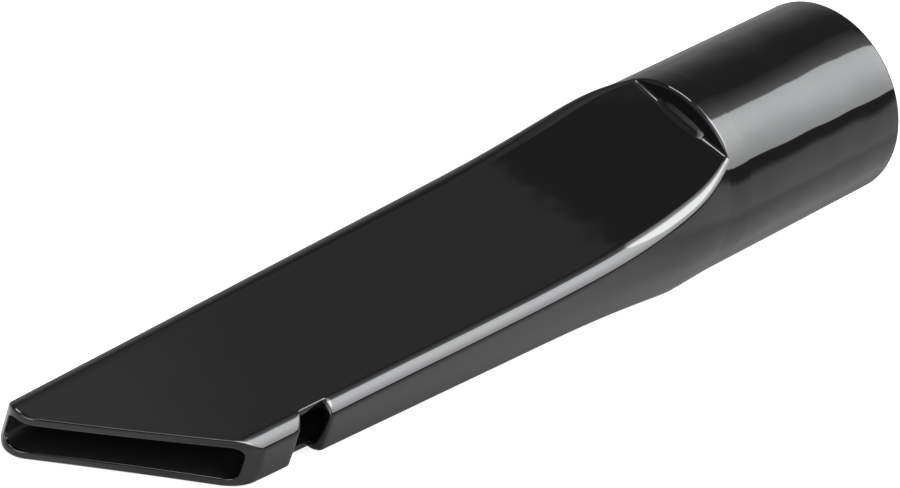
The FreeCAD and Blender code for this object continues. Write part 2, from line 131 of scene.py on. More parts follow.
# How close a row lies beside a small round, and such rows down the step and beside the foot and the mouth
CLOSE = 0.04 * MM
BESIDE = np.array((0.02, 0.35, 0.65, 0.98))[:, None, None]
FOOT_SHARE, NEXT_SHARE, MOUTH_SHARE = 0.004, 0.03, 0.002

# Steps that find where a line along the blade meets the mouth
MOUTH_TRIES = 8

# Round on the bore's edge, points closer than this are one, and edges sharper than this stay sharp
BORE_EDGE = 0.3 * MM
SAME_POINT = 2e-6
SHARP_EDGE = math.radians(38)

# Where the long waves on the socket's skin end and where they are full, along the tool
WAVES_END, WAVES_FULL = 52 * MM, 46 * MM

# Scale and detail of the noise in the plastic's smears, hairlines, waves, ripples and grain
SMEARS, HAIRLINES = (45.0, 3.0), (900.0, 2.0)
WAVES, RIPPLES, GRAIN = (60.0, 1.0), (150.0, 1.0), (2600.0, 2.0)

# How the hairlines are drawn out along the tool, and the range that noise mostly keeps to
DRAWN_OUT = (0.03, 1.0, 1.0)
NOISE_RANGE = (0.3, 0.7)

# Shares of the roughness: the least and the most in the smears, and the most that hairlines add
SMEAR_LEAST, SMEAR_MOST, HAIRLINE_MOST = 0.8, 1.2, 0.35

# The plastic's index of refraction
PLASTIC_IOR = 1.5

# The Mix node's two colours among its inputs, and the mixed one among its outputs
FIRST_COLOUR, SECOND_COLOUR, MIXED_COLOUR = 6, 7, 2

AXIS = np.array((1.0, 0.0, 0.0))

# The lights: name, place, the point it faces, width and height, shares across it, levels up it and tint.
# Shares and levels are stops from one edge to the other.
EVEN = ((0.0, 1.0), (1.0, 1.0))
WHITE = (1.0, 1.0, 1.0)
KEY_LEVELS = (
    (0.0, 5.7), (0.118, 6.8), (0.216, 8.2), (0.314, 10.0), (0.412, 10.7), (0.51, 10.3), (0.593, 9.1),
    (0.613, 1.8), (0.696, 1.1), (0.824, 0.45), (1.0, 0.05))
LIGHTS = (
    ("key", (-0.33, 0.1785, 0.6113), (-0.33, -0.1998, 0.0), (1.1, 1.02),
     ((0.0, 1.0), (0.45, 1.0), (0.62, 0.77), (1.0, 0.73)), KEY_LEVELS, (0.97, 0.99, 1.0)),
    ("card", (-0.16, -0.446, 0.5), (-0.16, -0.446, 0.0), (0.28, 0.508),
     ((0.0, 0.42), (0.5, 0.55), (0.72, 1.0)), ((0.0, 0.42), (1.0, 0.42)), WHITE),
    ("front", (0.9775, 0.395, 0.40), (0.1275, 0.175, -0.18), (0.9, 0.83),
     ((0.0, 0.1), (0.333, 0.6), (0.667, 1.0)), ((0.0, 6.5), (0.4, 6.5), (0.52, 5.0), (1.0, 5.0)), WHITE),
    ("top", (0.22, -0.53, 0.9), (0.22, -0.53, 0.0), (0.36, 0.56), EVEN, ((0.0, 14.0), (1.0, 14.0)), WHITE),
    ("back", (-0.19, 0.26, 0.9), (-0.19, 0.26, 0.0), (0.26, 0.8),
     EVEN, ((0.0, 2.0), (0.2, 3.5), (0.28, 9.0), (1.0, 9.0)), WHITE),
    ("fill", (0.75, -0.2, 0.68), (0.05, 0.0, 0.0), (0.9, 0.5),
     ((0.0, 0.0), (0.22, 0.3), (0.45, 0.9), (1.0, 1.0)), ((0.0, 0.9), (1.0, 0.9)), WHITE),
)

# The table as the gloss sees it, painted with its light and shade: grey levels from the far side to the
# near one, over a range of Y. The low levels under the tool are its shadow, painted on.
TABLE_PAINTED_SHADE = (
    (0.0, 0.42), (0.075, 0.30), (0.113, 0.18), (0.275, 0.2), (0.293, 0.40), (0.308, 0.68),
    (0.35, 0.76), (0.4, 0.7), (0.46, 1.0))
PAINTED_SHADE_RANGE = (-0.1, 0.3)

# Past the mouth, where the tool casts no shadow, the painted shadow stops: the near side's levels set in
# further back, by up to this much over a range of X
SHADOW_STOP_PAST_MOUTH = (0.168, 0.218)
SHADOW_STOP_SHIFT = 0.15

# Half the table's width and its grid lines
TABLE_HALF, TABLE_LINES = 3.0, 7

# The table's own grey and roughness, and the white that it gives off
TABLE_GREY, TABLE_ROUGHNESS, TABLE_GLOW_LEVEL = (0.30, 0.30, 0.30), 0.9, 0.8

# The sky's levels from the horizon up, on the near and the far side, and the range of Y between them
SKY_NEAR = ((0.0, 1.0), (0.11, 0.95), (0.17, 0.42), (0.21, 0.15), (0.3, 0.12), (1.0, 0.12))
SKY_FAR = ((0.0, 0.48), (0.05, 0.48), (0.34, 0.27), (0.54, 0.12), (0.68, 0.11), (1.0, 0.14))
SKY_RANGE = (-0.3, 0.3)

# The camera's sensor in millimetres
SENSOR_WIDTH = 36.0


class ToolSizes(bpy.types.PropertyGroup):
    """Sizes of the tool along its own axis."""

    bore_radius: bpy.props.FloatProperty(
        name="Bore radius", description="Bore that takes the wand", unit="LENGTH", default=17.8 * MM)
    outer_radius: bpy.props.FloatProperty(
        name="Socket radius", description="Outside of the socket", unit="LENGTH", default=20.0 * MM)
    socket_length: bpy.props.FloatProperty(
        name="Socket length", description="Open end to the step", unit="LENGTH", default=49.7 * MM)
    bore_depth: bpy.props.FloatProperty(
        name="Bore depth", description="Open end to the ledge", unit="LENGTH", default=47.5 * MM)
    lip_round: bpy.props.FloatProperty(
        name="Lip round", description="Round on the open end's edge", unit="LENGTH", default=0.6 * MM)
    step_round: bpy.props.FloatProperty(
        name="Step round", description="Round along the step's curved edge",
        unit="LENGTH", default=0.8 * MM)
    foot_round: bpy.props.FloatProperty(
        name="Foot round", description="Hollow round at the step's foot", unit="LENGTH", default=0.35 * MM)
    blade_wall: bpy.props.FloatProperty(
        name="Blade wall", description="Wall of the blade", unit="LENGTH", default=1.8 * MM)
    face_sink: bpy.props.FloatProperty(
        name="Face sink", description="How far a flat face sinks", unit="LENGTH", default=0.3 * MM)
    passage_round: bpy.props.FloatProperty(
        name="Passage round", description="Round on the passage's long edges",
        unit="LENGTH", default=1.8 * MM)
    rib_length: bpy.props.FloatProperty(
        name="Rib length", description="Rib across the tool", unit="LENGTH", default=12.4 * MM)
    rib_thickness: bpy.props.FloatProperty(
        name="Rib thickness", description="Rib along the tool", unit="LENGTH", default=1.2 * MM)
    rib_rise: bpy.props.FloatProperty(
        name="Rib rise", description="Rib's height above the flat face", unit="LENGTH", default=1.45 * MM)
    rib_root: bpy.props.FloatProperty(
        name="Rib root", description="Rib's depth into the wall", unit="LENGTH", default=1.0 * MM)
    rim_round: bpy.props.FloatProperty(
        name="Rim round", description="Round on the mouth's edges", unit="LENGTH", default=0.45 * MM)
    notch_round: bpy.props.FloatProperty(
        name="Notch round", description="Round on the notch's edges", unit="LENGTH", default=0.75 * MM)


class PlasticFinish(bpy.types.PropertyGroup):
    """The black plastic's colour, gloss and surface."""

    colour: bpy.props.FloatVectorProperty(
        name="Colour", description="Base colour of the plastic",
        subtype="COLOR", size=3, min=0.0, max=1.0, default=(0.0018, 0.0018, 0.0019))
    roughness: bpy.props.FloatProperty(
        name="Roughness", description="Mean roughness of the polished skin",
        subtype="FACTOR", min=0.0, max=1.0, default=0.04)
    inner_colour: bpy.props.FloatVectorProperty(
        name="Inner colour", description="Colour of the dull skin inside",
        subtype="COLOR", size=3, min=0.0, max=1.0, default=(0.004, 0.004, 0.0042))
    inner_roughness: bpy.props.FloatProperty(
        name="Inner roughness", description="Roughness added inside",
        subtype="FACTOR", min=0.0, max=1.0, default=0.35)
    wave_depth: bpy.props.FloatProperty(
        name="Wave depth", description="Depth of the long waves on the socket",
        unit="LENGTH", default=0.5 * MM)
    ripple_depth: bpy.props.FloatProperty(
        name="Ripple depth", description="Depth of the ripples all over", unit="LENGTH", default=0.03 * MM)
    grain_depth: bpy.props.FloatProperty(
        name="Grain depth", description="Depth of the skin's fine grain",
        unit="LENGTH", default=0.0003 * MM)


class StageSettings(bpy.types.PropertyGroup):
    """The camera over the table."""

    camera_place: bpy.props.FloatVectorProperty(
        name="Camera place", description="Where the camera stands",
        subtype="TRANSLATION", unit="LENGTH", size=3, default=(0.69039032, 0.38348065, 0.43672483))
    camera_aim: bpy.props.FloatVectorProperty(
        name="Camera aim", description="Point that the camera looks at",
        subtype="TRANSLATION", unit="LENGTH", size=3, default=(0.05578248, -0.03692306, -0.04341434))
    camera_roll: bpy.props.FloatProperty(
        name="Camera roll", description="How far the camera leans",
        subtype="ANGLE", default=math.radians(17.6677))
    lens: bpy.props.FloatProperty(
        name="Lens", description="Focal length on a 36 mm sensor", min=10.0, default=180.0)


def spline(places, values, at):
    """A natural cubic spline: its bends come from the tridiagonal system, and each span is a cubic."""
    step = np.diff(places)
    inner = np.arange(1, places.size - 1)
    system = np.eye(places.size)
    system[inner, inner - 1] = step[:-1]
    system[inner, inner] = 2 * (step[:-1] + step[1:])
    system[inner, inner + 1] = step[1:]
    target = np.zeros(places.size)
    target[1:-1] = 6 * np.diff(np.diff(values) / step)
    bends = np.linalg.solve(system, target)
    span = np.clip(np.searchsorted(places, at) - 1, 0, places.size - 2)
    left = at - places[span]
    right = places[span + 1] - at
    width = step[span]
    curve = (bends[span] * right**3 + bends[span + 1] * left**3) / (6 * width)
    line = (values[span] / width - bends[span] * width / 6) * right
    return curve + line + (values[span + 1] / width - bends[span + 1] * width / 6) * left


def loop_columns(notch_share):
    """The columns round the tool as arc number, share along that arc and the signs of Y and Z.

    A quarter runs up a side, round an edge's two arcs and in along a face; the loop is that quarter
    mirrored. The broad arc has a column at the notch's floor, and the face has two close to its edge.
    """
    side = np.arange(SIDE_STEPS) / SIDE_STEPS
    tight = np.arange(TIGHT_STEPS) / TIGHT_STEPS
    broad = np.arange(BROAD_STEPS) / BROAD_STEPS
    beyond = np.concatenate(((0.0,), np.linspace(BEYOND_FLOOR, 1, BROAD_STEPS)[:-1]))
    broad = np.concatenate((notch_share * broad, notch_share + (1 - notch_share) * beyond))
    face = np.concatenate((FACE_EDGE, np.linspace(FACE_START, 1, FACE_STEPS)))
    arc = np.repeat((0, 1, 2, 3), (side.size, tight.size, broad.size, face.size))
    share = np.concatenate((side, tight, broad, face))
    up = np.arange(share.size)
    turns = (up, up[-2::-1], up[1:], up[-2:0:-1])
    order = np.concatenate(turns)
    sizes = [turn.size for turn in turns]
    across = np.repeat((1, -1, -1, 1), sizes)
    height = np.repeat((1, 1, -1, -1), sizes)
    return arc[order], share[order], across, height


def outline(x, columns, stations, sink):
    """Points round the blade at places x: bulging sides, sinking faces and edges rounded between them.

    The side's circle goes through the corner and the belly, and the face's through both corners and its
    sunken middle. The edge is a tight circle that touches the side's from inside and then, at a set angle,
    a broad one that touches the face's from outside.
    """
    arc, share, across, height = columns
    high, belly, bulge, broad, tight, angle = (spline(stations[0], values, x) for values in stations[1:])
    wide = belly - bulge
    side = (high**2 + bulge**2) / (2 * bulge)
    face = (wide**2 + sink**2) / (2 * sink)
    up = face + high - sink
    over_y, over_z = (broad - tight) * np.cos(angle), (broad - tight) * np.sin(angle)
    back = side - belly
    start_y, start_z = -back - over_y, -over_z
    apart = np.hypot(start_y, up - start_z)
    reach = ((side - tight)**2 - (face + broad)**2 + apart**2) / (2 * apart)
    rise = np.sqrt((side - tight)**2 - reach**2)
    broad_y = start_y + (-start_y * reach + (up - start_z) * rise) / apart
    broad_z = start_z + ((up - start_z) * reach + start_y * rise) / apart
    tight_y, tight_z = broad_y + over_y, broad_z + over_z
    turn = np.arctan2(tight_z, tight_y + back)
    lean = np.arctan2(up - broad_z, -broad_y)
    on_tight = turn + share * (angle - turn)
    on_broad = angle + share * (lean - angle)
    inner_y = (broad_y + broad * np.cos(lean)) * (1 - share)
    places = (
        (-back + side * np.cos(share * turn), side * np.sin(share * turn)),
        (tight_y + tight * np.cos(on_tight), tight_z + tight * np.sin(on_tight)),
        (broad_y + broad * np.cos(on_broad), broad_z + broad * np.sin(on_broad)),
        (inner_y, up - np.sqrt(face**2 - inner_y**2)),
    )
    y, z = (np.choose(arc, [place[axis] for place in places]) for axis in (0, 1))
    return np.stack((x + 0 * y, across * y, height * z), axis=-1)


def passage_stations(wall, rounding):
    """The passage's outlines: a round start inside the bore, then one wall inside the blade's outlines."""
    along, high, belly, bulge = BLADE[:4, 1:]
    inset = wall * (high - bulge) / (high + bulge)
    inner = np.stack((along, high - wall, belly - wall, bulge - wall + inset))
    start_bulge = PASSAGE_WIDTH - math.sqrt(PASSAGE_WIDTH**2 - PASSAGE_HEIGHT**2)
    start = np.array((PASSAGE_START, PASSAGE_HEIGHT, PASSAGE_WIDTH, start_bulge))
    stations = np.concatenate((start[:, None], inner), axis=1)
    rounds = np.repeat(((rounding,), (rounding,), (PASSAGE_ANGLES[0],)), stations.shape[1], axis=1)
    rounds[2, 2:] = PASSAGE_ANGLES[1]
    return np.concatenate((stations, rounds))


def mouth_place(y):
    """Where the mouth's cut lies along the tool: a round, a slanting line and a round, by Y."""
    far_x, far_y, far_round = MOUTH_FAR
    near_x, near_y, near_round = MOUTH_NEAR
    out, over = MOUTH_FACING
    line = far_x + out * far_round - (y - far_y - over * far_round) * over / out
    far = far_x + np.sqrt(np.clip(far_round**2 - (y - far_y)**2, 0, None))
    near = near_x + np.sqrt(np.clip(near_round**2 - (y - near_y)**2, 0, None))
    line = np.where(y < far_y + over * far_round, far, line)
    return np.where(y > near_y + over * near_round, near, line)


def skin_end(columns, stations, sink):
    """Where each line along the blade meets the mouth's cut, by steps that close in on it."""
    x = np.full((1, columns[0].size), NOTCH[1])
    for _ in range(MOUTH_TRIES):
        x = mouth_place(outline(x, columns, stations, sink)[..., 1])
    return x


def bend(start, corner, end, count):
    """Rows of a round between two points: a parabola pulled to the corner, without its ends."""
    t = np.linspace(0, 1, count + 2)[1:-1, None, None]
    return start * (1 - t)**2 + 2 * corner * t * (1 - t) + end * t**2


def between(start, end, count):
    """Rows of straight lines between two points, without their ends."""
    t = np.linspace(0, 1, count + 2)[1:-1, None, None]
    return start + (end - start) * t


def towards(start, end, length):
    """The way from some points to others, as vectors of one length."""
    way = end - start
    return way / np.linalg.norm(way, axis=-1, keepdims=True) * length


def notch_rows(sizes):
    """Rows along the blade at the notch's floor and beside it, one round apart."""
    start, end = NOTCH
    apart = sizes.notch_round * np.arange(1, NOTCH_LEAD + 1)
    return np.concatenate((start - apart[::-1], np.linspace(start, end, FLOOR_ROWS), end + apart))


def skin(first, end, columns, stations, sizes):
    """The blade's skin as rows from one place to the mouth, and the number of the notch's first row.

    The rows run straight across, lean like the notch's forward side past its floor and then slant like the
    mouth. A row has a place along the tool for each column, and the outline gives the point there.
    """
    rows = notch_rows(sizes)
    shares = np.linspace(NEXT_SHARE, 1, NEAR_ROWS, endpoint=False)
    near = first + (NEAR_END - first) * np.concatenate(((0.0, FOOT_SHARE), shares))[:, None]
    ways = (
        np.linspace(NEAR_END, STRAIGHT_START, BLEND_ROWS, endpoint=False),
        np.linspace(STRAIGHT_START, rows[0], STRAIGHT_ROWS, endpoint=False), rows)
    level = np.concatenate(ways)[:, None]
    out = outline(np.full((1, columns[0].size), NOTCH[1]), columns, stations, sizes.face_sink)[..., 1]
    lean = NOTCH_LEAN * np.clip(out - NOTCH_FLOOR, 0, None)
    level = level + lean * np.clip((level - NOTCH[0]) / (NOTCH[1] - NOTCH[0]), 0, 1)
    near = near + 0 * level[:1]
    left = (1 - np.linspace(0, 1, MOUTH_ROWS, endpoint=False))**MOUTH_CROWD
    ahead = 1 - np.append(left, (MOUTH_SHARE, 0.0))[:, None]
    slant = SLANT_START + ahead * (end - sizes.rim_round / MOUTH_FACING[0] - SLANT_START)
    start = near.shape[0] + level.shape[0] - rows.size
    points = outline(np.concatenate((near, level, slant)), columns, stations, sizes.face_sink)
    return points, start


def grid_faces(rows, columns, first=0):
    """Squares between neighbouring rows of closed loops, as point numbers."""
    corner = first + np.arange((rows - 1) * columns).reshape(rows - 1, columns)
    right = np.roll(corner, -1, axis=1)
    return np.stack((corner, right, right + columns, corner + columns), axis=-1)


def step_shape(sizes, columns):
    """The step's foot, the socket's height above it, and the rounds that fit on its edge and at its foot.

    The foot is the blade's outline at the socket's end. The socket's circle stands above it at the same Y,
    and neither round takes more than half the drop between them.
    """
    foot = outline(np.full((1, columns[0].size), sizes.socket_length), columns, BLADE, sizes.face_sink)
    upright = columns[3] * np.sqrt(np.clip(sizes.outer_radius**2 - foot[..., 1]**2, 0, None))
    crown = np.where(columns[0] > 0, upright, foot[..., 2])
    drop = np.abs(crown) - np.abs(foot[..., 2])
    return foot, crown, np.minimum(sizes.step_round, drop / 2), np.minimum(sizes.foot_round, drop / 2)


def bore_rows(sizes, ledge):
    """The bore's rows, straight out from the ledge to the round on its open edge."""
    end = ledge.copy()
    end[..., 1:] *= sizes.bore_radius / np.linalg.norm(end[..., 1:], axis=-1, keepdims=True)
    mouth = end * np.array((0.0, 1.0, 1.0))
    start = mouth + AXIS * BORE_EDGE
    rounded = mouth * (sizes.bore_radius + BORE_EDGE) / sizes.bore_radius
    wall = np.concatenate((end, between(end, start, BORE_ROWS), start))
    return wall, np.concatenate((bend(start, mouth, rounded, BORE_BEND), rounded))


def socket_rows(sizes, columns, step, blade_start):
    """The socket's rows: round the lip, along the outside, over the step's edge and down to the blade."""
    foot, crown_z, edge, hollow = step
    radius, length, lip = sizes.outer_radius, sizes.socket_length, sizes.lip_round
    sign = columns[3]
    around = np.stack((0 * crown_z, foot[..., 1], crown_z), axis=-1) / radius

    def at(x, z):
        return np.stack((x + 0 * crown_z, foot[..., 1], z), axis=-1)

    angle = np.linspace(0, math.pi / 2, LIP_BEND)[:, None, None]
    rounded = around * (radius - lip * (1 - np.cos(angle))) + AXIS * (lip * (1 - np.sin(angle)))
    start = around * radius + AXIS * lip
    crown = at(length - edge, crown_z)
    top = at(length, crown_z - sign * edge)
    low = at(length, foot[..., 2] + sign * hollow)
    return np.concatenate((
        rounded[::-1], between(start, crown - AXIS * CLOSE, SOCKET_ROWS), crown - AXIS * CLOSE, crown,
        bend(crown, at(length, crown_z), top, STEP_BEND), top, top + (low - top) * BESIDE, low,
        bend(low, foot, blade_start, STEP_BEND)))


def tool_points(sizes):
    """The whole wall as rows of closed loops: out through the bore, over the outside and back in.

    Every loop has the same columns, so a row is a profile's point carried round the tool. It also gives how
    far each point is inside, and the numbers of the notch's first row outside and inside.
    """
    columns = loop_columns(FLOOR_OUTSIDE)
    inner_columns = loop_columns(FLOOR_INSIDE)
    inner_stations = passage_stations(sizes.blade_wall, sizes.passage_round)
    sink = sizes.face_sink
    step = step_shape(sizes, columns)
    outer_end = skin_end(columns, BLADE, sink)
    inner_end = skin_end(inner_columns, inner_stations, sink)
    ledge = np.full((1, columns[0].size), sizes.bore_depth)
    outer_skin, outer_notch = skin(sizes.socket_length + step[3], outer_end, columns, BLADE, sizes)
    inner_skin, inner_notch = skin(ledge, inner_end, inner_columns, inner_stations, sizes)
    outer_rim = outline(outer_end, columns, BLADE, sink)
    inner_rim = outline(inner_end, inner_columns, inner_stations, sink)
    across = towards(outer_rim, inner_rim, sizes.rim_round)
    outer_flat, inner_flat = outer_rim + across, inner_rim - across
    bore, bore_edge = bore_rows(sizes, inner_skin[:1])
    outside = np.concatenate((bore_edge, socket_rows(sizes, columns, step, outer_skin[:1])))
    rim = np.concatenate((
        bend(outer_skin[-1:], outer_rim, outer_flat, STEP_BEND), outer_flat,
        between(outer_flat, inner_flat, RIM_ROWS), inner_flat,
        bend(inner_flat, inner_rim, inner_skin[-1:], STEP_BEND)))
    parts = (bore, outside, outer_skin, rim, inner_skin[::-1])
    inside = np.repeat((1.0, 0.0, 0.0, 0.0, 1.0), [part.shape[0] for part in parts])
    points = np.concatenate(parts)
    outer_first = bore.shape[0] + outside.shape[0]
    inner_last = points.shape[0] - 1
    inside = np.repeat(inside[:, None], columns[0].size, axis=1)
    return points, inside, outer_first + outer_notch, inner_last - inner_notch


def tool_mesh(sizes):
    """The tool's closed wall with the notch cut through it.

    The notch is a hole in both skins, joined by rows that bend in from each skin and cross the wall.
    """
    points, inside, outer_notch, inner_notch = tool_points(sizes)
    rows, columns = points.shape[:2]
    faces = grid_faces(rows + 1, columns).reshape(rows, columns, 4) % (rows * columns)
    half = SIDE_STEPS + TIGHT_STEPS + BROAD_STEPS + 1
    low, high = NOTCH_LEAD - 1, NOTCH_LEAD + FLOOR_ROWS
    side = np.arange(-half, half)
    run = np.arange(low, high)
    # The hole in both skins, between the rows and columns beside the notch's edges
    keep = np.ones((rows, columns), bool)
    keep[np.ix_(outer_notch + run, side % columns)] = False
    keep[np.ix_(inner_notch - 1 - run, side % columns)] = False
    # The hole's edge as rows and columns, and the notch's own edge one line further in
    row = np.concatenate((0 * side + low, run, 0 * side + high, run[::-1] + 1))
    column = np.concatenate((side, 0 * run + half, -side, 0 * run - half))
    row_in = np.clip(row, low + 1, high - 1)
    column_in = np.clip(column, 1 - half, half - 1)
    outer_hole = (outer_notch + row) * columns + column % columns
    inner_hole = (inner_notch - row) * columns + column % columns
    outer_edge = points[outer_notch + row_in, column_in % columns]
    inner_edge = points[inner_notch - row_in, column_in % columns]
    flat = points.reshape(-1, 3)
    through = towards(outer_edge, inner_edge, sizes.notch_round)
    start, end = flat[outer_hole][None], flat[inner_hole][None]
    wall_top, wall_low = (outer_edge + through)[None], (inner_edge - through)[None]
    band = np.concatenate((
        bend(start, outer_edge[None], wall_top, NOTCH_BEND), wall_top,
        between(wall_top, wall_low, WALL_ROWS), wall_low,
        bend(wall_low, inner_edge[None], end, NOTCH_BEND)))
    numbers = flat.shape[0] + np.arange(band.shape[0] * band.shape[1]).reshape(band.shape[:2])
    numbers = np.concatenate((outer_hole[None], numbers, inner_hole[None]))
    over = np.roll(numbers, -1, axis=1)
    wall = np.stack((numbers[:-1], over[:-1], over[1:], numbers[1:]), axis=-1).reshape(-1, 4)
    points = np.concatenate((flat, band.reshape(-1, 3)))
    inside = np.concatenate((inside.ravel(), np.zeros(points.shape[0] - flat.shape[0])))
    return points, np.concatenate((faces[keep], wall)), inside


def rib_points(sizes):
    """The rib as loops across the tool: a ramp up to the step, with its back let into the wall.

    The ramp's thickness and rise shrink towards both ends by a superellipse, and its slope bulges a little.
    Below the face it runs on with the slope that it has there.
    """
    along = np.cos(np.linspace(0, math.pi, RIB_LOOPS))[:, None]
    size = np.clip(1 - np.abs(along)**RIB_BLUNT, 0, None)**(1 / RIB_BLUNT)
    climb = np.linspace(0, 1, RAMP_POINTS)[None]
    swell = RIB_SWELL * 4 * climb * (1 - climb)
    ramp_x = sizes.rib_thickness * size * (1 - climb + swell)
    ramp_z = sizes.rib_rise * size * (climb + swell)
    root = sizes.rib_root * size
    slope = sizes.rib_thickness / sizes.rib_rise * (1 - 4 * RIB_SWELL) / (1 + 4 * RIB_SWELL)
    x = np.concatenate((ramp_x[:, :1] + root * slope, ramp_x, -root, -root), axis=1)
    z = np.concatenate((-root, ramp_z, ramp_z[:, -1:], -root), axis=1)
    face = BLADE[1, 0] - sizes.face_sink
    return np.stack((sizes.socket_length + x, sizes.rib_length / 2 * along + 0 * x, face + z), axis=-1)


def piece(name, points, faces, inside):
    """An object at the origin, laid down as the tool lies, with doubles merged and smooth faces."""
    mesh = bpy.data.meshes.new(name)
    mesh.from_pydata(points.tolist(), [], faces.tolist())
    mesh.attributes.new("inside", "FLOAT", "POINT").data.foreach_set("value", inside)
    mesh.transform(LIE)
    work = bmesh.new()
    work.from_mesh(mesh)
    bmesh.ops.remove_doubles(work, verts=work.verts, dist=SAME_POINT)
    work.to_mesh(mesh)
    work.free()
    mesh.shade_smooth()
    mesh.set_sharp_from_angle(angle=SHARP_EDGE)
    item = bpy.data.objects.new(name, mesh)
    bpy.context.scene.collection.objects.link(item)
    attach(item, "root")
    return item


def plastic(finish):
    """The gloss black plastic: long waves on the socket, ripples and a fine grain all over, hairlines along
    the tool and faint smears. The skin inside is duller and paler."""
    material = bpy.data.materials.new("black_plastic")
    material.use_nodes = True
    tree = material.node_tree
    nodes, links = tree.nodes, tree.links
    shader = nodes["Principled BSDF"]
    shader.inputs["IOR"].default_value = PLASTIC_IOR
    coordinates = nodes.new("ShaderNodeTexCoord")

    def noise(scale, detail, stretch=(1.0, 1.0, 1.0)):
        place = nodes.new("ShaderNodeMapping")
        place.inputs["Scale"].default_value = stretch
        links.new(coordinates.outputs["Object"], place.inputs["Vector"])
        node = nodes.new("ShaderNodeTexNoise")
        node.inputs["Scale"].default_value = scale
        node.inputs["Detail"].default_value = detail
        links.new(place.outputs["Vector"], node.inputs["Vector"])
        return node.outputs["Fac"]

    def spread(source, low, high):
        node = nodes.new("ShaderNodeMapRange")
        node.inputs["From Min"].default_value = NOISE_RANGE[0]
        node.inputs["From Max"].default_value = NOISE_RANGE[1]
        node.inputs["To Min"].default_value = low
        node.inputs["To Max"].default_value = high
        links.new(source, node.inputs["Value"])
        return node.outputs[0]

    def raised(height, depth, below=None):
        node = nodes.new("ShaderNodeBump")
        node.inputs["Strength"].default_value = 1.0
        node.inputs["Distance"].default_value = depth
        links.new(height, node.inputs["Height"])
        if below:
            links.new(below, node.inputs["Normal"])
        return node.outputs["Normal"]

    # Gloss: smears and hairlines
    smears = spread(noise(*SMEARS), SMEAR_LEAST * finish.roughness, SMEAR_MOST * finish.roughness)
    hairlines = spread(noise(*HAIRLINES, DRAWN_OUT), 0.0, HAIRLINE_MOST * finish.roughness)
    gloss = nodes.new("ShaderNodeMath")
    links.new(smears, gloss.inputs[0])
    links.new(hairlines, gloss.inputs[1])
    # Surface: waves on the socket alone, then ripples and grain
    split = nodes.new("ShaderNodeSeparateXYZ")
    links.new(coordinates.outputs["Object"], split.inputs[0])
    socket = nodes.new("ShaderNodeMapRange")
    socket.inputs["From Min"].default_value = WAVES_END
    socket.inputs["From Max"].default_value = WAVES_FULL
    links.new(split.outputs["X"], socket.inputs["Value"])
    waving = nodes.new("ShaderNodeMath")
    waving.operation = "MULTIPLY"
    links.new(socket.outputs[0], waving.inputs[0])
    links.new(noise(*WAVES), waving.inputs[1])
    waves = raised(waving.outputs[0], finish.wave_depth)
    ripples = raised(noise(*RIPPLES), finish.ripple_depth, waves)
    links.new(raised(noise(*GRAIN), finish.grain_depth, ripples), shader.inputs["Normal"])
    # The dull skin inside
    inside = nodes.new("ShaderNodeAttribute")
    inside.attribute_name = "inside"
    shade = nodes.new("ShaderNodeMix")
    shade.data_type = "RGBA"
    shade.inputs[FIRST_COLOUR].default_value = (*finish.colour, 1.0)
    shade.inputs[SECOND_COLOUR].default_value = (*finish.inner_colour, 1.0)
    links.new(inside.outputs["Fac"], shade.inputs[0])
    links.new(shade.outputs[MIXED_COLOUR], shader.inputs["Base Color"])
    dull = nodes.new("ShaderNodeMath")
    dull.operation = "MULTIPLY_ADD"
    dull.inputs[1].default_value = finish.inner_roughness
    links.new(inside.outputs["Fac"], dull.inputs[0])
    links.new(gloss.outputs[0], dull.inputs[2])
    links.new(dull.outputs[0], shader.inputs["Roughness"])
    return material


class CREVICE_OT_mould_tool(bpy.types.Operator):
    """Builds the tool's wall and its rib, and puts the plastic on them"""

    bl_idname = "crevice.mould_tool"
    bl_label = "Mould Tool"

    def execute(self, context):
        sizes = context.scene.tool_sizes
        points, faces, inside = tool_mesh(sizes)
        rib = rib_points(sizes)
        rib_faces = grid_faces(rib.shape[0], rib.shape[1], points.shape[0]).reshape(-1, 4)
        points = np.concatenate((points, rib.reshape(-1, 3)))
        faces = np.concatenate((faces, rib_faces))
        inside = np.concatenate((inside, np.zeros(points.shape[0] - inside.size)))
        tool = piece("crevice_wall", points, faces, inside)
        tool.data.materials.append(plastic(context.scene.plastic_finish))
        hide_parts("crevice_tool")
        return {"FINISHED"}


def ramp(tree, stops):
    """A colour ramp of grey levels; stops are places and levels."""
    node = tree.nodes.new("ShaderNodeValToRGB")
    elements = node.color_ramp.elements
    while len(elements) < len(stops):
        elements.new(0.5)
    for element, (place, level) in zip(elements, stops):
        element.position = place
        element.color = (level, level, level, 1.0)
    return node


def softbox(name, place, aim, size, across, upwards, tint):
    """A rectangular light that faces a point; its radiance is a level up it times a share across it."""
    light = bpy.data.lights.new(name, "AREA")
    light.shape = "RECTANGLE"
    light.size, light.size_y = size
    light.color = tint
    peak = max(level for _, level in upwards)
    light.energy = peak * math.pi * size[0] * size[1]
    light.use_nodes = True
    tree = light.node_tree
    spot = tree.nodes.new("ShaderNodeNewGeometry")
    split = tree.nodes.new("ShaderNodeSeparateXYZ")
    tree.links.new(spot.outputs["Parametric"], split.inputs[0])
    fade_up = ramp(tree, [(share, level / peak) for share, level in upwards])
    fade_across = ramp(tree, across)
    tree.links.new(split.outputs["Y"], fade_up.inputs[0])
    tree.links.new(split.outputs["X"], fade_across.inputs[0])
    both = tree.nodes.new("ShaderNodeVectorMath")
    both.operation = "MULTIPLY"
    tree.links.new(fade_up.outputs["Color"], both.inputs[0])
    tree.links.new(fade_across.outputs["Color"], both.inputs[1])
    tree.links.new(both.outputs[0], tree.nodes["Emission"].inputs["Color"])
    lamp = bpy.data.objects.new(name, light)
    bpy.context.scene.collection.objects.link(lamp)
    facing = Vector(aim) - Vector(place)
    lamp.location = place
    lamp.rotation_euler = facing.to_track_quat("-Z", "Y").to_euler()
    lamp.visible_camera = False


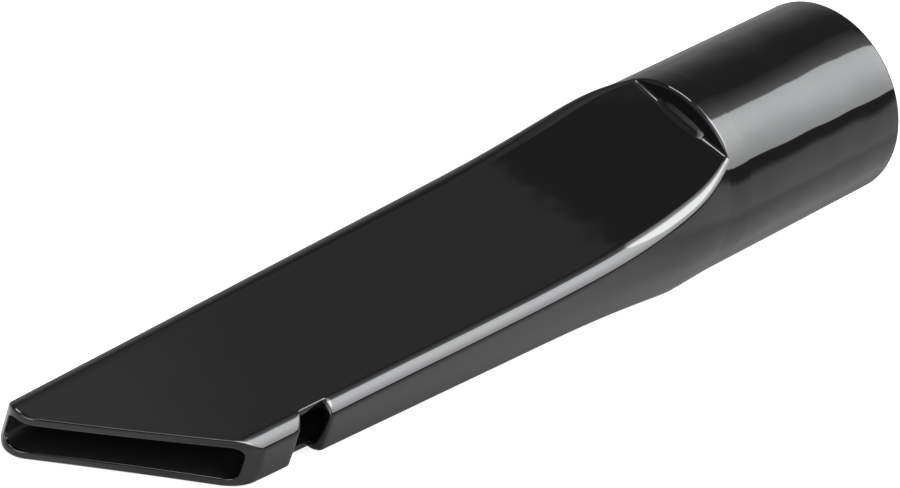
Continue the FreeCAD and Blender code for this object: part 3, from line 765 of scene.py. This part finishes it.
def table_mesh(height):
    """The table's top as squares over an even grid of points at one height."""
    side = np.linspace(-TABLE_HALF, TABLE_HALF, TABLE_LINES)
    x, y = np.meshgrid(side, side)
    points = np.stack((x.ravel(), y.ravel(), np.full(x.size, height)), axis=1)
    corner = np.arange((side.size - 1) * side.size).reshape(side.size - 1, side.size)[:, :-1].ravel()
    faces = np.stack((corner, corner + 1, corner + side.size + 1, corner + side.size), axis=1)
    mesh = bpy.data.meshes.new("table")
    mesh.from_pydata(points.tolist(), [], faces.tolist())
    return mesh


def table_white():
    """The white table: plain white to the camera, and in the tool's gloss a glow of painted light and
    shade, with the tool's shadow painted under it.
    """
    material = bpy.data.materials.new("table_white")
    material.use_nodes = True
    tree = material.node_tree
    shader = tree.nodes["Principled BSDF"]
    shader.inputs["Base Color"].default_value = (*TABLE_GREY, 1.0)
    shader.inputs["Roughness"].default_value = TABLE_ROUGHNESS
    shader.inputs["Specular IOR Level"].default_value = 0.0
    shader.inputs["Emission Color"].default_value = (*WHITE, 1.0)
    shader.inputs["Emission Strength"].default_value = TABLE_GLOW_LEVEL
    coordinates = tree.nodes.new("ShaderNodeTexCoord")
    split = tree.nodes.new("ShaderNodeSeparateXYZ")
    # Where the painted shadow under the tool stops, past the mouth
    shadow_stop = tree.nodes.new("ShaderNodeMapRange")
    shadow_stop.inputs["From Min"].default_value = SHADOW_STOP_PAST_MOUTH[0]
    shadow_stop.inputs["From Max"].default_value = SHADOW_STOP_PAST_MOUTH[1]
    shadow_stop.inputs["To Max"].default_value = SHADOW_STOP_SHIFT
    shadow_place = tree.nodes.new("ShaderNodeMath")
    reach = tree.nodes.new("ShaderNodeMapRange")
    reach.inputs["From Min"].default_value = PAINTED_SHADE_RANGE[0]
    reach.inputs["From Max"].default_value = PAINTED_SHADE_RANGE[1]
    # The table's painted light and shade, as greys
    painted_shade = ramp(tree, TABLE_PAINTED_SHADE)
    # The table glows with this painted light and shade for every ray but the camera's
    painted_glow = tree.nodes.new("ShaderNodeEmission")
    path = tree.nodes.new("ShaderNodeLightPath")
    mix = tree.nodes.new("ShaderNodeMixShader")
    tree.links.new(coordinates.outputs["Object"], split.inputs[0])
    tree.links.new(split.outputs["X"], shadow_stop.inputs["Value"])
    tree.links.new(shadow_stop.outputs[0], shadow_place.inputs[0])
    tree.links.new(split.outputs["Y"], shadow_place.inputs[1])
    tree.links.new(shadow_place.outputs[0], reach.inputs["Value"])
    tree.links.new(reach.outputs[0], painted_shade.inputs[0])
    tree.links.new(painted_shade.outputs["Color"], painted_glow.inputs["Color"])
    tree.links.new(path.outputs["Is Camera Ray"], mix.inputs[0])
    tree.links.new(painted_glow.outputs[0], mix.inputs[1])
    tree.links.new(shader.outputs[0], mix.inputs[2])
    tree.links.new(mix.outputs[0], tree.nodes["Material Output"].inputs["Surface"])
    return material


def sky(tree):
    """The studio round the table, bright at the horizon and dark overhead."""
    coordinates = tree.nodes.new("ShaderNodeTexCoord")
    split = tree.nodes.new("ShaderNodeSeparateXYZ")
    tree.links.new(coordinates.outputs["Generated"], split.inputs[0])
    near = ramp(tree, SKY_NEAR)
    far = ramp(tree, SKY_FAR)
    mix = tree.nodes.new("ShaderNodeMix")
    mix.data_type = "RGBA"
    side = tree.nodes.new("ShaderNodeMapRange")
    side.inputs["From Min"].default_value = SKY_RANGE[0]
    side.inputs["From Max"].default_value = SKY_RANGE[1]
    tree.links.new(split.outputs["Z"], near.inputs[0])
    tree.links.new(split.outputs["Z"], far.inputs[0])
    tree.links.new(split.outputs["Y"], side.inputs[0])
    tree.links.new(side.outputs[0], mix.inputs["Factor"])
    tree.links.new(far.outputs["Color"], mix.inputs[FIRST_COLOUR])
    tree.links.new(near.outputs["Color"], mix.inputs[SECOND_COLOUR])
    tree.links.new(mix.outputs[MIXED_COLOUR], tree.nodes["Background"].inputs["Color"])


class CREVICE_OT_set_stage(bpy.types.Operator):
    """Sets the table, the lights and the camera"""

    bl_idname = "crevice.set_stage"
    bl_label = "Set Stage"

    def execute(self, context):
        stage = context.scene.crevice_stage
        table = bpy.data.objects.new("table", table_mesh(CAD_BOX[0].z))
        context.scene.collection.objects.link(table)
        table.data.materials.append(table_white())
        for light in LIGHTS:
            softbox(*light)
        world = bpy.data.worlds.new("studio")
        world.use_nodes = True
        context.scene.world = world
        sky(world.node_tree)
        lens = bpy.data.cameras.new("camera")
        lens.lens = stage.lens
        lens.sensor_width = SENSOR_WIDTH
        camera = bpy.data.objects.new("camera", lens)
        context.scene.collection.objects.link(camera)
        facing = Vector(stage.camera_aim) - Vector(stage.camera_place)
        camera.location = stage.camera_place
        lean = Quaternion((0.0, 0.0, 1.0), stage.camera_roll)
        camera.rotation_mode = "QUATERNION"
        camera.rotation_quaternion = facing.to_track_quat("-Z", "Y") @ lean
        context.scene.camera = camera
        context.scene.view_settings.view_transform = "Standard"
        return {"FINISHED"}


class CREVICE_PT_looks(bpy.types.Panel):
    """Lists the steps that dress the tool"""

    bl_idname = "CREVICE_PT_looks"
    bl_label = "Crevice Tool"
    bl_space_type = "VIEW_3D"
    bl_region_type = "UI"
    bl_category = "Crevice Tool"

    def draw(self, context):
        self.layout.operator("crevice.mould_tool")
        self.layout.operator("crevice.set_stage")


CLASSES = (
    ToolSizes, PlasticFinish, StageSettings, CREVICE_OT_mould_tool, CREVICE_OT_set_stage, CREVICE_PT_looks)


def register():
    """Registers the classes and hangs the settings on the scene."""
    for item in CLASSES:
        bpy.utils.register_class(item)
    bpy.types.Scene.tool_sizes = bpy.props.PointerProperty(type=ToolSizes)
    bpy.types.Scene.plastic_finish = bpy.props.PointerProperty(type=PlasticFinish)
    bpy.types.Scene.crevice_stage = bpy.props.PointerProperty(type=StageSettings)


def unregister():
    """Takes the settings and the classes away again."""
    del bpy.types.Scene.crevice_stage
    del bpy.types.Scene.plastic_finish
    del bpy.types.Scene.tool_sizes
    for item in reversed(CLASSES):
        bpy.utils.unregister_class(item)


def main():
    """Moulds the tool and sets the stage."""
    register()
    bpy.ops.crevice.mould_tool()
    bpy.ops.crevice.set_stage()


if __name__ == "__main__":
    main()
